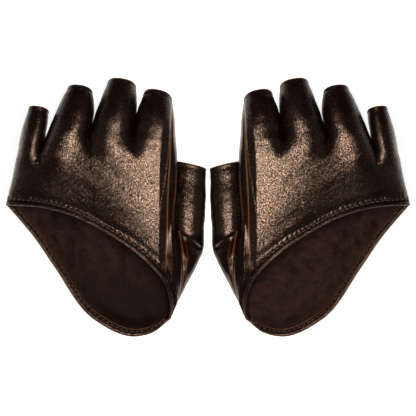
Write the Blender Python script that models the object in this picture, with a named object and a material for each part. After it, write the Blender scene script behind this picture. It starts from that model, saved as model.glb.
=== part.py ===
"""A mirrored pair of fingerless gloves lying palm down, fingers towards +Y, thumbs side by side at X = 0.

The left glove is described in millimetres; the right glove is its mirror image across X = 0.
"""

import math

import bpy
import numpy as np

MM = 0.001

# The pair's origin: on the rest plane, between the thumbs, halfway along the gloves.
MIDDLE = np.array([0.0, -0.405, 0.0])

# Layers of the glove wall, as depths below the outer face.
LEATHER = (0.0, 0.9)
LINING = (1.3, 1.8)
HEM_FOLD = (1.25, 2.05)
TIP_HEM = (-0.15, 1.9)

# Sides of the hand in plan, as (y, x) stations: little-finger side, then index side.
OUTER_EDGE = ((-72, -86), (-45, -98), (-20, -107), (1, -109.7), (13, -106.8), (33, -103.4), (44, -101.6))
INNER_EDGE = (
    (-72, -29),
    (-61.5, -21),
    (-53, -17.2),
    (-42, -14.3),
    (-30, -13.6),
    (-22, -14.5),
    (-12, -17.7),
    (-4, -17.9),
    (7, -17.0),
    (25, -16.4),
    (44, -17.6),
)
OUTER_SEAM_HEIGHT = ((-72, 4), (-40, 7), (0, 9), (44, 9.5))
INNER_SEAM_HEIGHT = ((-72, 4), (-61, 5.5), (-45, 11), (-30, 14), (0, 17), (44, 16.5))
BACK_RISE = ((-50, 9.5), (-20, 12.5), (0, 14), (25, 15), (44, 15))
BACK_POWER = 2.6
BACK_SAG = 5.0
PALM_POWER = 3.2
SOLE_FLAT = 0.4

# The palm edge round the spoon end, as (share of the edge, x, y) from the little-finger side.
PALM_EDGE = (
    (0.0, -109.7, 1.2),
    (0.198, -93.9, -18.1),
    (0.345, -83.8, -33.0),
    (0.631, -62.4, -61.0),
    (0.832, -39.3, -70.4),
    (0.912, -29.6, -68.2),
    (1.0, -21.0, -61.5),
)
PALM_EDGE_LIFT = 3.5
CROTCH_FADE = 17.0
# Half the height between back and palm at the foot of each finger gap, which the fourchette fills.
CROTCH_OPEN = 3.2

# Base corners of the finger stalls, from the little-finger side to the index side.
OUTER_BASE = (-102.6, 34.0, 9.5)
LITTLE_RING_CROTCH = (-88.6, 36.0, 12.5)
RING_MIDDLE_CROTCH = (-63.2, 42.5, 15.0)
MIDDLE_INDEX_CROTCH = (-40.1, 42.5, 16.0)
INDEX_BASE = (-17.4, 41.0, 16.5)

# Each stall: bases and tips of its two side lines, how far the lines bow, height of the back at base and tip,
# depth of the palm side at base and tip, and how far the tip droops, in degrees.
FINGERS = {
    "little": (
        (OUTER_BASE, LITTLE_RING_CROTCH),
        ((-97.0, 53.6, 11.0), (-86.3, 52.1, 11.5)),
        (-0.6, 0.5),
        (11.0, 7.6),
        (8.5, 7.0),
        10,
    ),
    "ring": (
        (LITTLE_RING_CROTCH, RING_MIDDLE_CROTCH),
        ((-75.6, 64.0, 13.0), (-62.4, 62.4, 13.5)),
        (-0.8, 1.4),
        (14.5, 8.6),
        (11.5, 8.6),
        15,
    ),
    "middle": (
        (RING_MIDDLE_CROTCH, MIDDLE_INDEX_CROTCH),
        ((-53.9, 67.0, 14.0), (-38.9, 64.8, 14.0)),
        (-0.6, 1.0),
        (14.5, 9.0),
        (13.0, 9.0),
        19,
    ),
    "index": (
        (MIDDLE_INDEX_CROTCH, INDEX_BASE),
        ((-34.5, 60.6, 14.0), (-19.2, 58.0, 14.0)),
        (-0.8, 0.3),
        (13.0, 9.4),
        (14.0, 9.0),
        22,
    ),
}
# The thumb stall, in the same order.
THUMB = (
    ((-16.9, -12.0, 11.0), (-2.0, -15.5, 9.5)),
    ((-15.7, 24.2, 10.5), (-1.1, 20.6, 10.5)),
    (-0.1, 0.6),
    (9.5, 6.8),
    (8.6, 8.0),
    6,
)
STALL_POWER = 2.3
OUTER_LEAN = 0.16
INNER_LEAN = -0.06

# The side seam starts near the side of the index finger and drifts across the back towards the hem.
SIDE_SEAM = 3.8
SEAM_DRIFT = 0.6
DRIFT_START = 2.4

# Stalls start past the knuckle seam and end before the tip hem.
STALL_START_GAP = 1.8
HAND_END_GAP = 1.6
TIP_HEM_LENGTH = 1.4
NEIGHBOUR_GAP = 0.45
PIVOT_BELOW_CROWN = 5.0
WEB_HALF_WIDTH = 2.0
WEB_HALF_HEIGHT = 4.0
THREAD_RADIUS = 0.22
# Keeps the corner of a very sharp fold from running away when the wall is given its thickness.
SHARPEST_FOLD = 1.2
NUDGE = 1e-3
HAND_PIVOT = (-63.0, 0.0, 0.0)

# Pattern lines of the panels, counted in fingers from the little-finger side.
BACK_COLUMNS = np.array(
    [0.01, 0.1, 0.4, 0.8, 1.0, 1.15, 1.5, 1.85, 2.0, 2.15, 2.5, 2.85, 3.0, 3.15, 3.45, 3.77]
)
SIDE_COLUMNS = np.array([3.8, 3.86, 3.93, 3.99])
PALM_COLUMNS = np.array(
    [0.012, 0.2, 0.5, 0.85, 1.0, 1.15, 1.5, 1.85, 2.0, 2.15, 2.6, 2.85, 3.0, 3.15, 3.5, 3.8, 3.988]
)
BACK_ROWS = np.array([0.0, 0.1, 0.24, 0.5, 0.72, 0.9, 1.0])
PALM_ROWS = np.array([0.0, 0.12, 0.3, 0.48, 0.53, 0.68, 0.82, 0.87, 0.94, 1.0])
THUMB_HOLE = (0.48, 0.53, 0.82, 0.87)
THUMB_HOLE_DEPTH = 0.16

LEATHER_COLOUR = (0.012, 0.007, 0.006, 1.0)
LINING_COLOUR = (0.022, 0.014, 0.012, 1.0)
THREAD_COLOUR = (0.03, 0.018, 0.014, 1.0)


def spline(stations, where):
    """Smooth curve through (parameter, value...) stations, evaluated at an array of parameters."""
    table = np.array(stations, float)
    keys = table[:, 0]
    values = table[:, 1:]
    slopes = np.gradient(values, keys, axis=0)
    where = np.clip(np.asarray(where, float), keys[0], keys[-1])
    i = np.clip(np.searchsorted(keys, where, side="right") - 1, 0, len(keys) - 2)
    span = (keys[i + 1] - keys[i])[..., None]
    t = (where - keys[i])[..., None] / span
    start = (2 * t**3 - 3 * t**2 + 1) * values[i] + (t**3 - 2 * t**2 + t) * span * slopes[i]
    end = (3 * t**2 - 2 * t**3) * values[i + 1] + (t**3 - t**2) * span * slopes[i + 1]
    result = start + end
    return result[..., 0] if values.shape[1] == 1 else result


def dome(share, power):
    """Height of a superellipse of the given power over a sideways share from -1 to 1."""
    return np.clip(1 - np.abs(share) ** power, 0, 1) ** (1 / power)


def smooth(t):
    """Smooth step from 0 to 1."""
    t = np.clip(t, 0, 1)
    return t * t * (3 - 2 * t)


def sleeve(angle, y, side):
    """Point on the hand between the side seams; side is +1 on the back and -1 on the palm."""
    share = np.sin(angle)
    left = spline(OUTER_EDGE, y)
    right = spline(INNER_EDGE, y)
    x = (left + right) / 2 + (right - left) / 2 * share
    low = spline(OUTER_SEAM_HEIGHT, y)
    high = spline(INNER_SEAM_HEIGHT, y)
    seam = low + (high - low) * (share + 1) / 2
    if side > 0:
        z = seam + spline(BACK_RISE, y) * dome(share, BACK_POWER)
    else:
        z = np.maximum(seam * (1 - dome(share, PALM_POWER)) - SOLE_FLAT, 0)
    return np.stack([x, y, z], axis=-1)


def angle_at(x, y):
    """Sleeve angle of a plan position."""
    left = spline(OUTER_EDGE, y)
    right = spline(INNER_EDGE, y)
    return np.arcsin(np.clip((2 * x - left - right) / (right - left), -1, 1))


def stall(spec, bend, along, side):
    """Point on a finger stall: bend from -90 to 90 degrees across it, along from 0 at the base to 1."""
    bases, tips, bows, rises, depths, droop = spec
    along = np.asarray(along, float)
    bend = np.asarray(bend, float)
    middle = (4 * along * (1 - along))[..., None] * np.array([1.0, 0, 0])
    ease = np.clip(along, 0, 2) ** 1.5
    step = np.stack([along, along, ease], axis=-1)
    left = np.array(bases[0]) * (1 - step) + np.array(tips[0]) * step + bows[0] * middle
    right = np.array(bases[1]) * (1 - step) + np.array(tips[1]) * step + bows[1] * middle
    across = ((1 + np.sin(bend)) / 2)[..., None]
    tilt = math.radians(droop) * ease
    up = np.stack([np.zeros_like(tilt), np.sin(tilt), np.cos(tilt)], axis=-1)
    sizes = rises if side > 0 else depths
    height = sizes[0] + (sizes[1] - sizes[0]) * ease
    arch = (height * dome(np.sin(bend), STALL_POWER))[..., None]
    return left + (right - left) * across + side * up * arch


def stall_loop(spec):
    """Surface of a closed stall: u from 0 to 1 goes over the back and returns under the sole."""

    def surface(u, v):
        turn = np.mod(u, 1.0) * 2 * math.pi
        over = turn <= math.pi
        bend = np.where(over, turn - math.pi / 2, 1.5 * math.pi - turn)
        top = stall(spec, bend, v, 1)
        sole = stall(spec, bend, v, -1)
        return np.where(over[..., None], top, sole)

    return surface


def edge_lean(spec, which):
    """How far one side line of a stall leans sideways at its base, for each step forwards."""
    base, tip = np.array(spec[0][which]), np.array(spec[1][which])
    return (tip[0] - base[0] + 4 * spec[2][which]) / (tip[1] - base[1])


def crotch_leans():
    """Sideways lean of the line between each pair of fingers, and of the two outer lines."""
    specs = list(FINGERS.values())
    between = [(edge_lean(a, 1) + edge_lean(b, 0)) / 2 for a, b in zip(specs, specs[1:])]
    return np.array([OUTER_LEAN] + between + [INNER_LEAN])


def arch_at_seam(u, side):
    """The four stall arches side by side at the knuckle seam, u from 0 to 4, and the lean at each point."""
    finger = np.clip(np.floor(u).astype(int), 0, 3)
    bend = (u - finger - 0.5) * math.pi
    points = np.zeros(np.shape(u) + (3,))
    for index, spec in enumerate(FINGERS.values()):
        points = np.where((finger == index)[..., None], stall(spec, bend, np.zeros_like(u), side), points)
    between = np.where((u > 0.5) & (u < 3.5), 1 - dome(np.sin(bend), STALL_POWER), 0)
    points[..., 2] += side * CROTCH_OPEN * between
    across = (1 + np.sin(bend)) / 2
    leans = crotch_leans()
    return points, leans[finger] * (1 - across) + leans[finger + 1] * across


def back_edge(share):
    """y of the diagonal back hem at a sideways share of the hand."""
    plunge = np.clip((share - 0.78) / 0.22, 0, 1) ** 1.2
    return 1.2 - 10 * (1 + share) ** 2.48 - 7 * plunge


def hand_surface(side):
    """Surface of the back (side 1) or the palm (-1): u 0 to 4 across, v 0 at the knuckles, 1 at the hem."""

    def surface(u, v):
        seam, lean = arch_at_seam(u, side)
        front = seam[..., 1]
        start = angle_at(seam[..., 0], front)
        if side > 0:
            end = (u / 4 - 0.5) * math.pi
            hem = back_edge(np.sin(end))
        else:
            edge = spline(PALM_EDGE, u / 4)
            hem = edge[..., 1]
            end = angle_at(edge[..., 0], hem)
        y = front - HAND_END_GAP + (hem - front + HAND_END_GAP) * v
        turn = start + (end - start) * v
        base = sleeve(turn, y, side)
        if side > 0:
            lift = -BACK_SAG * v**2 * dome(np.sin(turn), 2) * (1 - 0.7 * smooth(np.sin(turn) / 0.7))
        else:
            lift = PALM_EDGE_LIFT * u * (4 - u) / 4 * np.clip((v - 0.72) / 0.28, 0, 1) ** 2
        base = base + lift[..., None] * np.array([0, 0, 1.0])
        back = y - front
        moved = seam + np.stack([lean * back, back, np.zeros_like(back)], axis=-1)
        fade = smooth(1 + back / CROTCH_FADE)
        return base + (moved - base) * fade[..., None]

    return surface


def back_surface(pattern, v):
    """The back by pattern columns, with the side seam drifting across it towards the hem."""
    before = np.clip((pattern - DRIFT_START) / (SIDE_SEAM - DRIFT_START), 0, 1)
    after = np.clip((4 - pattern) / (4 - SIDE_SEAM), 0, 1)
    return hand_surface(1)(pattern - SEAM_DRIFT * np.clip(v, 0, 2) ** 0.8 * before * after, v)


def palm_surface(u, v):
    """The palm with its index-side edge drawn in along the thumb hole."""
    first, second, third, last = THUMB_HOLE
    hole = np.clip((v - first) / (second - first), 0, 1) * np.clip((last - v) / (last - third), 0, 1)
    return hand_surface(-1)(u - THUMB_HOLE_DEPTH * hole * (u / 4) ** 24, v)


def gusset_surface(u, v):
    """The thumb gusset: u 0 at the side panel, over the thumb side, 1 at the palm; v along the hand."""
    turn = (u - 0.5) * math.pi
    y = -13.8 - 3.5 * np.cos(turn) * (1 - v) - 33.0 * v
    inner = spline(INNER_EDGE, y)
    reach = 13.2 * (1 - smooth(v / 0.95)) * (1 - 0.35 * v) + 1.4
    seam = spline(INNER_SEAM_HEIGHT, y)
    rise = (seam - 1.5) / 2
    tuck = 2.2 * np.clip(2 * u - 1, 0, 1) ** 3
    x = inner + 0.35 + reach * np.cos(turn) - tuck
    z = 1.5 + rise - rise * np.sin(turn) + 0.6 * np.cos(turn)
    return np.stack([x, y, z], axis=-1)


def unit(vectors):
    return vectors / np.maximum(np.linalg.norm(vectors, axis=-1, keepdims=True), 1e-12)


def ahead_of(surface, u, v):
    """Direction of a surface along v."""
    return surface(u, v + NUDGE) - surface(u, v - NUDGE)


def normals(surface, u, v):
    """Unit normals of a surface in its u x v sense, by small steps."""
    across = surface(u + NUDGE, v) - surface(u - NUDGE, v)
    return unit(np.cross(across, ahead_of(surface, u, v)))


def mitred(surface, u, v, closed):
    """Normals of a grid, lengthened at each fold line so that the strips on both sides move equally far."""
    ahead = ahead_of(surface, u, v)
    after = np.roll(surface(u, v), -1, axis=0) - surface(u, v)
    before = np.roll(after, 1, axis=0)
    both = unit(np.cross(before, ahead)) + unit(np.cross(after, ahead))
    result = 2 * both / np.maximum((both**2).sum(axis=-1, keepdims=True), SHARPEST_FOLD)
    if not closed:
        plain = normals(surface, u, v)
        result[0] = plain[0]
        result[-1] = plain[-1]
    return result


def layer(surface, across, rows, depths, sign, closed, trim):
    """Outer and inner point grids of one layer of the wall; trim leaves out the outermost pattern lines."""
    u, v = np.meshgrid(across, rows, indexing="ij")
    outward = mitred(surface, u, v, closed) * sign
    outer = surface(u, v) - outward * depths[0]
    inner = surface(u, v) - outward * depths[1]
    return (outer[1:-1], inner[1:-1]) if trim else (outer, inner)


def grid_solid(outer, inner, closed):
    """Vertices and faces of the closed solid between two grids; closed wraps the first direction."""
    columns, rows = outer.shape[:2]
    vertices = np.concatenate([outer.reshape(-1, 3), inner.reshape(-1, 3)])
    shift = columns * rows
    faces = []
    turns = columns if closed else columns - 1
    for i in range(turns):
        for j in range(rows - 1):
            a = i * rows + j
            b = (i + 1) % columns * rows + j
            faces += [(a, b, b + 1), (a, b + 1, a + 1)]
            faces += [(a + shift, b + 1 + shift, b + shift), (a + shift, a + 1 + shift, b + 1 + shift)]
    for i in range(turns):
        for j, flip in ((0, False), (rows - 1, True)):
            a = i * rows + j
            b = (i + 1) % columns * rows + j
            face = (a, a + shift, b + shift, b)
            faces.append(face[::-1] if flip else face)
    if not closed:
        for j in range(rows - 1):
            for i, flip in ((0, True), (columns - 1, False)):
                a = i * rows + j
                face = (a, a + shift, a + 1 + shift, a + 1)
                faces.append(face[::-1] if flip else face)
    return vertices, faces


def thread_solid(path, outward):
    """A square thread laid along a path of points."""
    path = np.asarray(path)
    ahead = np.gradient(path, axis=0)
    ahead /= np.linalg.norm(ahead, axis=-1, keepdims=True)
    sideways = np.cross(ahead, outward)
    sideways /= np.linalg.norm(sideways, axis=-1, keepdims=True)
    upright = np.cross(sideways, ahead)
    r = THREAD_RADIUS
    corners = [path + r * sideways, path + r * upright, path - r * sideways, path - r * upright]
    grid = np.stack(corners, axis=0)
    count = len(path)
    vertices = grid.reshape(-1, 3)
    faces = []
    for i in range(4):
        for j in range(count - 1):
            a = i * count + j
            b = (i + 1) % 4 * count + j
            faces.append((a, b, b + 1, a + 1))
    faces.append(tuple(i * count for i in (3, 2, 1, 0)))
    faces.append(tuple(i * count + count - 1 for i in (0, 1, 2, 3)))
    return vertices, faces


def volume(vertices, faces):
    """Signed volume, to find out whether the faces point outwards."""
    total = 0.0
    for face in faces:
        a = vertices[face[0]]
        for k in range(1, len(face) - 1):
            total += np.dot(a, np.cross(vertices[face[k]], vertices[face[k + 1]]))
    return total / 6


def material(name, colour, roughness):
    made = bpy.data.materials.new(name)
    made.use_nodes = True
    shader = made.node_tree.nodes["Principled BSDF"]
    shader.inputs["Base Color"].default_value = colour
    shader.inputs["Roughness"].default_value = roughness
    shader.inputs["Metallic"].default_value = 0.0
    return made


def add_piece(name, vertices, faces, pivot, look, smooth=True):
    """One piece for each hand: the left as given, the right mirrored, origin on its joint."""
    for side, flip in (("left", 1.0), ("right", -1.0)):
        points = (np.asarray(vertices) - np.array(pivot)) * MM
        place = (np.array(pivot) - MIDDLE) * np.array([flip, 1.0, 1.0]) * MM
        points = points * np.array([flip, 1.0, 1.0])
        outward = volume(vertices, faces) > 0
        keep = outward if flip > 0 else not outward
        made_faces = [face if keep else face[::-1] for face in faces]
        mesh = bpy.data.meshes.new(f"{side}_{name}")
        mesh.from_pydata([tuple(p) for p in points], [], made_faces)
        mesh.update()
        for polygon in mesh.polygons:
            polygon.use_smooth = smooth
        mesh.materials.append(material(f"{side}_{name}_{look[0]}", look[1], look[2]))
        piece = bpy.data.objects.new(f"{side}_{name}", mesh)
        piece.location = tuple(place)
        bpy.context.scene.collection.objects.link(piece)


LEATHER_LOOK = ("leather", LEATHER_COLOUR, 0.35)
LINING_LOOK = ("fabric", LINING_COLOUR, 0.9)
THREAD_LOOK = ("thread", THREAD_COLOUR, 0.6)


def sheet(name, surface, across, rows, depths, look, pivot=HAND_PIVOT, closed=False, sign=1, trim=False):
    """One piece of sheet material as a closed solid, for both hands."""
    outer, inner = layer(surface, across, rows, depths, sign, closed, trim)
    vertices, faces = grid_solid(outer, inner, closed)
    add_piece(name, vertices, faces, pivot, look)


def stall_length(spec):
    base = np.mean(spec[0], axis=0)
    tip = np.mean(spec[1], axis=0)
    return float(np.linalg.norm(tip - base))


def stall_pivot(spec):
    """Joint position of a stall: the middle of its base seam, in the upper part of the tube."""
    base = np.mean(spec[0], axis=0)
    return (base[0], base[1], base[2] + spec[3][0] - PIVOT_BELOW_CROWN)


def narrowed(spec):
    """The stall with its sides drawn in, so that neighbours stay clear of each other."""
    aside = np.array([NEIGHBOUR_GAP, 0, 0])
    bases = (np.array(spec[0][0]) + aside, np.array(spec[0][1]) - aside)
    return (bases,) + tuple(spec[1:])


def add_stall(name, spec, columns):
    """Leather tube, lining tube and turned tip hem of one stall."""
    spec = narrowed(spec)
    length = stall_length(spec)
    start = STALL_START_GAP / length
    hem_start = 1 - TIP_HEM_LENGTH / length
    end = hem_start - 0.3 / length
    pivot = stall_pivot(spec)
    around = np.arange(columns) / columns
    surface = stall_loop(spec)
    sheet(f"{name}_stall", surface, around, np.linspace(start, end, 4), LEATHER, LEATHER_LOOK, pivot, True)
    sheet(f"{name}_lining", surface, around, np.linspace(start, end, 3), LINING, LINING_LOOK, pivot, True)
    sheet(f"{name}_tip_hem", surface, around, (hem_start, 1.0), TIP_HEM, LEATHER_LOOK, pivot, True)


def add_back():
    """Back panel and side panel, with the lining and the turned hem under the back."""
    back = back_surface
    lining_rows = np.append(BACK_ROWS[:-2], 0.89)
    sheet("back_panel", back, BACK_COLUMNS, BACK_ROWS, LEATHER, LEATHER_LOOK, sign=-1)
    sheet("back_lining", back, BACK_COLUMNS, lining_rows, LINING, LINING_LOOK, sign=-1, trim=True)
    sheet("back_hem", back, BACK_COLUMNS, BACK_ROWS[-2:], HEM_FOLD, LEATHER_LOOK, sign=-1, trim=True)
    sheet("side_panel", back, SIDE_COLUMNS, BACK_ROWS, LEATHER, LEATHER_LOOK, sign=-1)


def add_palm():
    """Palm panel with its lining and its turned hem round the spoon end."""
    lining_rows = np.append(PALM_ROWS[:-2], 0.932)
    sheet("palm_panel", palm_surface, PALM_COLUMNS, PALM_ROWS, LEATHER, LEATHER_LOOK)
    sheet("palm_lining", palm_surface, PALM_COLUMNS, lining_rows, LINING, LINING_LOOK, trim=True)
    sheet("palm_hem", palm_surface, PALM_COLUMNS, PALM_ROWS[-2:], HEM_FOLD, LEATHER_LOOK, trim=True)


def add_threads():
    """The two rows of topstitching, each one thread following its hem."""
    for name, side, columns, share, depth, sign in (
        ("back_stitching", 1, BACK_COLUMNS, 0.95, -0.5, -1),
        ("palm_stitching", -1, PALM_COLUMNS, 0.97, 2.6, 1),
    ):
        surface = back_surface if side > 0 else palm_surface
        u = columns[1:-1]
        v = np.full_like(u, share)
        outward = normals(surface, u, v) * sign
        path = surface(u, v) - outward * depth
        vertices, faces = thread_solid(path, outward)
        add_piece(name, vertices, faces, HAND_PIVOT, THREAD_LOOK)


def add_gusset():
    across = np.linspace(0.03, 0.97, 8)
    rows = np.linspace(0.0, 1.0, 6)
    sheet("thumb_gusset", gusset_surface, across, rows, LEATHER, LEATHER_LOOK, sign=-1)


def add_fourchettes():
    """The folds of leather between neighbouring fingers, closing the front of the hand."""
    for name, crotch in (
        ("little_ring", LITTLE_RING_CROTCH),
        ("ring_middle", RING_MIDDLE_CROTCH),
        ("middle_index", MIDDLE_INDEX_CROTCH),
    ):
        share = np.linspace(-1, 1, 5)
        x = crotch[0] + WEB_HALF_WIDTH * share
        front = crotch[1] - 0.65 + 0.5 * share**2
        heights = (crotch[2] - WEB_HALF_HEIGHT, crotch[2] + WEB_HALF_HEIGHT)
        outer = np.stack([np.column_stack([x, front, np.full(5, z)]) for z in heights], axis=1)
        inner = outer - np.array([0, 0.6, 0])
        vertices, faces = grid_solid(outer, inner, False)
        add_piece(f"fourchette_{name}", vertices, faces, HAND_PIVOT, LEATHER_LOOK)


def build():
    for old in list(bpy.data.objects):
        bpy.data.objects.remove(old)
    add_back()
    add_palm()
    add_gusset()
    add_fourchettes()
    add_threads()
    for name, spec in FINGERS.items():
        add_stall(name, spec, 14)
    add_stall("thumb", THUMB, 14)


build()
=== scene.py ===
"""Visual model of a mirrored pair of fingerless leather gloves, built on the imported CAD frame."""

import math
from collections import namedtuple

import bpy
import numpy as np
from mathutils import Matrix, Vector


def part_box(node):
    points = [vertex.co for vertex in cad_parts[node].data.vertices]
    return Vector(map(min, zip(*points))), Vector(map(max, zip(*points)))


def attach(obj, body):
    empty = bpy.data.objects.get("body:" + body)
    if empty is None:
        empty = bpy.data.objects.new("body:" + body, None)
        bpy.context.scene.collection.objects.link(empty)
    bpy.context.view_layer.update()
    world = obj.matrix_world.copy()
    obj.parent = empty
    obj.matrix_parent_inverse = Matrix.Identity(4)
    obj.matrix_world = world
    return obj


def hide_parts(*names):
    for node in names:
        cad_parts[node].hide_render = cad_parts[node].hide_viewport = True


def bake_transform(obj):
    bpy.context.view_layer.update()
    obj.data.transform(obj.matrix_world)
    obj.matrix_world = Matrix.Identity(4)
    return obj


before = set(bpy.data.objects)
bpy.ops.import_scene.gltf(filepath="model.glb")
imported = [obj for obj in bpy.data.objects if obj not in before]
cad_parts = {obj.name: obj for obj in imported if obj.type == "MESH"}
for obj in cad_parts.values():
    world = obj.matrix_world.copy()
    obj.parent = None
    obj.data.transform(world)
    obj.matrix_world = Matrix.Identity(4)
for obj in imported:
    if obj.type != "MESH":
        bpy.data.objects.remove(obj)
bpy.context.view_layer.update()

MM = 0.001
FINE = 1.0
UP = np.array([0, 0, 1.0])

# ---------------------------------------------------------------- pattern of the left glove, in millimetres

# Sides of the hand in plan, as (y, x): the little-finger side, then the index side.
OUTER_EDGE = ((-72, -86), (-45, -98), (-20, -107), (1, -109.7), (13, -106.8), (33, -103.4), (44, -101.6))
INNER_EDGE = (
    (-72, -29),
    (-61.5, -21),
    (-53, -17.2),
    (-42, -14.3),
    (-30, -13.6),
    (-22, -14.5),
    (-12, -17.7),
    (-4, -17.9),
    (7, -17.0),
    (25, -16.4),
    (44, -17.6),
)
# Height of those two sides and rise of the back above them, as (y, z).
OUTER_SEAM_HEIGHT = ((-72, 4), (-40, 7), (0, 9), (44, 9.5))
INNER_SEAM_HEIGHT = ((-72, 4), (-61, 5.5), (-45, 11), (-30, 14), (0, 17), (44, 16.5))
BACK_RISE = ((-50, 9.5), (-20, 12.5), (0, 14), (25, 15), (44, 15))
# Roundness of back and palm across the hand, and how far the middle of the palm is pressed flat.
BACK_POWER = 2.6
PALM_POWER = 3.2
SOLE_FLAT = 0.4
# The empty back sags towards its hem, and less on the index side.
BACK_SAG = 5.0
SAG_LOST = 0.7
SAG_LOST_AT = 0.7
# The palm edge round the spoon end, as (share of the edge, x, y), and how it turns up there.
PALM_EDGE = (
    (0.0, -109.7, 1.2),
    (0.198, -93.9, -18.1),
    (0.345, -83.8, -33.0),
    (0.631, -62.4, -61.0),
    (0.832, -39.3, -70.4),
    (0.912, -29.6, -68.2),
    (1.0, -21.0, -61.5),
)
PALM_EDGE_LIFT = 3.5
PALM_LIFT_START = 0.72
# The edge of the back runs down to the thumb side ever more steeply, and plunges at its end.
BACK_EDGE_START = 1.2
BACK_EDGE_DROP = 10
BACK_EDGE_POWER = 2.48
PLUNGE_START = 0.78
PLUNGE_DROP = 7
PLUNGE_POWER = 1.2
# The thumb hole in the index-side edge of the palm: where it starts, is open, starts to close and is closed.
THUMB_HOLE = (0.48, 0.53, 0.84, 0.92)
THUMB_HOLE_DEPTH = 0.16
THUMB_HOLE_POWER = 24
# The arches of the stalls fade into the hand over this length behind the knuckle seam.
CROTCH_FADE = 17.0
# Base corners of the finger stalls, and the sideways lean of the outermost two.
OUTER_BASE = (-102.6, 34.0, 9.5)
LITTLE_RING = (-88.6, 36.0, 12.5)
RING_MIDDLE = (-63.2, 42.5, 15.0)
MIDDLE_INDEX = (-40.1, 42.5, 16.0)
INDEX_BASE = (-17.4, 41.0, 16.5)
OUTER_LEAN = 0.16
INNER_LEAN = -0.06
# A stall: corners at its base and tip, the sideways bow of its two edges, its rise above them and depth below
# them at base and tip, and the droop of its tip in degrees.
Stall = namedtuple("Stall", "left_base right_base left_tip right_tip bows rises depths droop")
FINGERS = {
    "little": Stall(
        OUTER_BASE,
        LITTLE_RING,
        left_tip=(-97.0, 53.6, 11.0),
        right_tip=(-86.3, 52.1, 11.5),
        bows=(-0.6, 0.5),
        rises=(11.0, 7.6),
        depths=(8.5, 7.0),
        droop=10,
    ),
    "ring": Stall(
        LITTLE_RING,
        RING_MIDDLE,
        left_tip=(-75.6, 64.0, 13.0),
        right_tip=(-62.4, 62.4, 13.5),
        bows=(-0.8, 1.4),
        rises=(14.5, 8.6),
        depths=(11.5, 8.6),
        droop=15,
    ),
    "middle": Stall(
        RING_MIDDLE,
        MIDDLE_INDEX,
        left_tip=(-53.9, 67.0, 14.0),
        right_tip=(-38.9, 64.8, 14.0),
        bows=(-0.6, 1.0),
        rises=(14.5, 9.0),
        depths=(13.0, 9.0),
        droop=19,
    ),
    "index": Stall(
        MIDDLE_INDEX,
        INDEX_BASE,
        left_tip=(-34.5, 60.6, 14.0),
        right_tip=(-19.2, 58.0, 14.0),
        bows=(-0.8, 0.3),
        rises=(13.0, 9.4),
        depths=(14.0, 9.0),
        droop=22,
    ),
}
THUMB = Stall(
    (-18.4, -12.0, 11.0),
    (-2.0, -15.5, 9.5),
    left_tip=(-17.0, 24.4, 8.5),
    right_tip=(-1.1, 20.6, 8.5),
    bows=(-0.1, 0.6),
    rises=(10.5, 5.6),
    depths=(8.6, 8.0),
    droop=6,
)
STALL_POWER = 2.3
# The thumb gusset: its start and length along the hand, how far it bulges and stands out, the share of it that
# still follows the thumb stall, and how its tail closes below the seam and tucks inside the palm.
GUSSET_START = -12
GUSSET_LENGTH = 41.0
GUSSET_BULGE = 3.5
GUSSET_REACH = 15.5
GUSSET_TAPER = 1.3
GUSSET_TUCK = 2.2
GUSSET_BLEND = 0.4
TAIL_START = 0.62
TAIL_HEIGHT = 0.45
# The seam between back and side panel, as a column of the pattern, and its drift across the back to the hem.
SIDE_SEAM = 3.8
SEAM_DRIFT = 0.6
DRIFT_START = 2.4
# Lines of the leather in plan, as (y, x): the side seam, and the shoulder where the back turns down to it.
SEAM_LINE = ((-42, -23.0), (-12, -22.0), (7, -21.5), (25, -20.4), (41, -19.6), (57, -19.0))
SHOULDER_LINE = ((-46, -24.2), (-25, -26.0), (0, -26.0), (35, -24.8), (60, -21.5))
# Creases and seams in plan, as (x, y), the gusset seam and fold carrying a painted brown highlight, and the
# knuckles, as (x, y, height).
STREAK = ((-19.6, -9), (-19.9, -14), (-19.3, -28), (-20.4, -41))
GUSSET_SEAM = ((-15.6, -12.3), (-13.2, -25.8), (-13.9, -42.8), (-16.6, -51.5))
GUSSET_FOLD = ((-12.4, -18.0), (-10.8, -27.0), (-12.6, -40.0))
THUMB_ROOT_FOLD = ((-13.5, -15.0), (-4.6, -21.9))
KNUCKLES = ((-97.0, 27.0, 0.3), (-79.6, 26.5, 1.1), (-53.0, 32.0, 1.2), (-33.0, 37.0, 1.6))
KNUCKLE_SIZE = 7.0
# Thickness of the sheets, and depth of the inner ones below the outer face of the leather.
BACK_LEATHER = 1.3
LEATHER_SHEET = 1.0
FOLD_LEATHER = 0.6
LINING_SHEET = 0.4
LINING_DEPTH = 1.5
STALL_LINING_SHEET = 0.35
STALL_LINING_DEPTH = 1.25
PALM_HEM_DEPTH = 2.15
PALM_HEM_WIDTH = 3.6
# Linings stop this many rows short of the edge of the leather.
LINING_TRIM = 4
# Distance of the stitch lines from the hem, pitch and half length of the stitches, and the thread.
BACK_STITCH_LINE = 2.9
PALM_STITCH_LINE = 2.2
STITCH_PITCH = 2.9
STITCH_HALF = 1.05
THREAD_RADIUS = 0.26
THREAD_FLAT = 0.8
THREAD_SIDES = 8
# Brown painted rim highlight on a cut or turned edge, and steps round it.
RIM_HIGHLIGHT = 0.8
RIM_STEPS = 6
# The pattern's origin, and its offset for the grain of the right glove, so that the two gloves differ.
MIDDLE_Y = -0.405
RIGHT_GRAIN_SHIFT = 37.0

# The pattern is laid onto the frame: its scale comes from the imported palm.
PATTERN_PALM_WIDTH = 93.999
palm_lo, palm_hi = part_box("left_palm_panel")
SCALE = (palm_hi.x - palm_lo.x) / (PATTERN_PALM_WIDTH * MM)


# ---------------------------------------------------------------- surfaces


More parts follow.
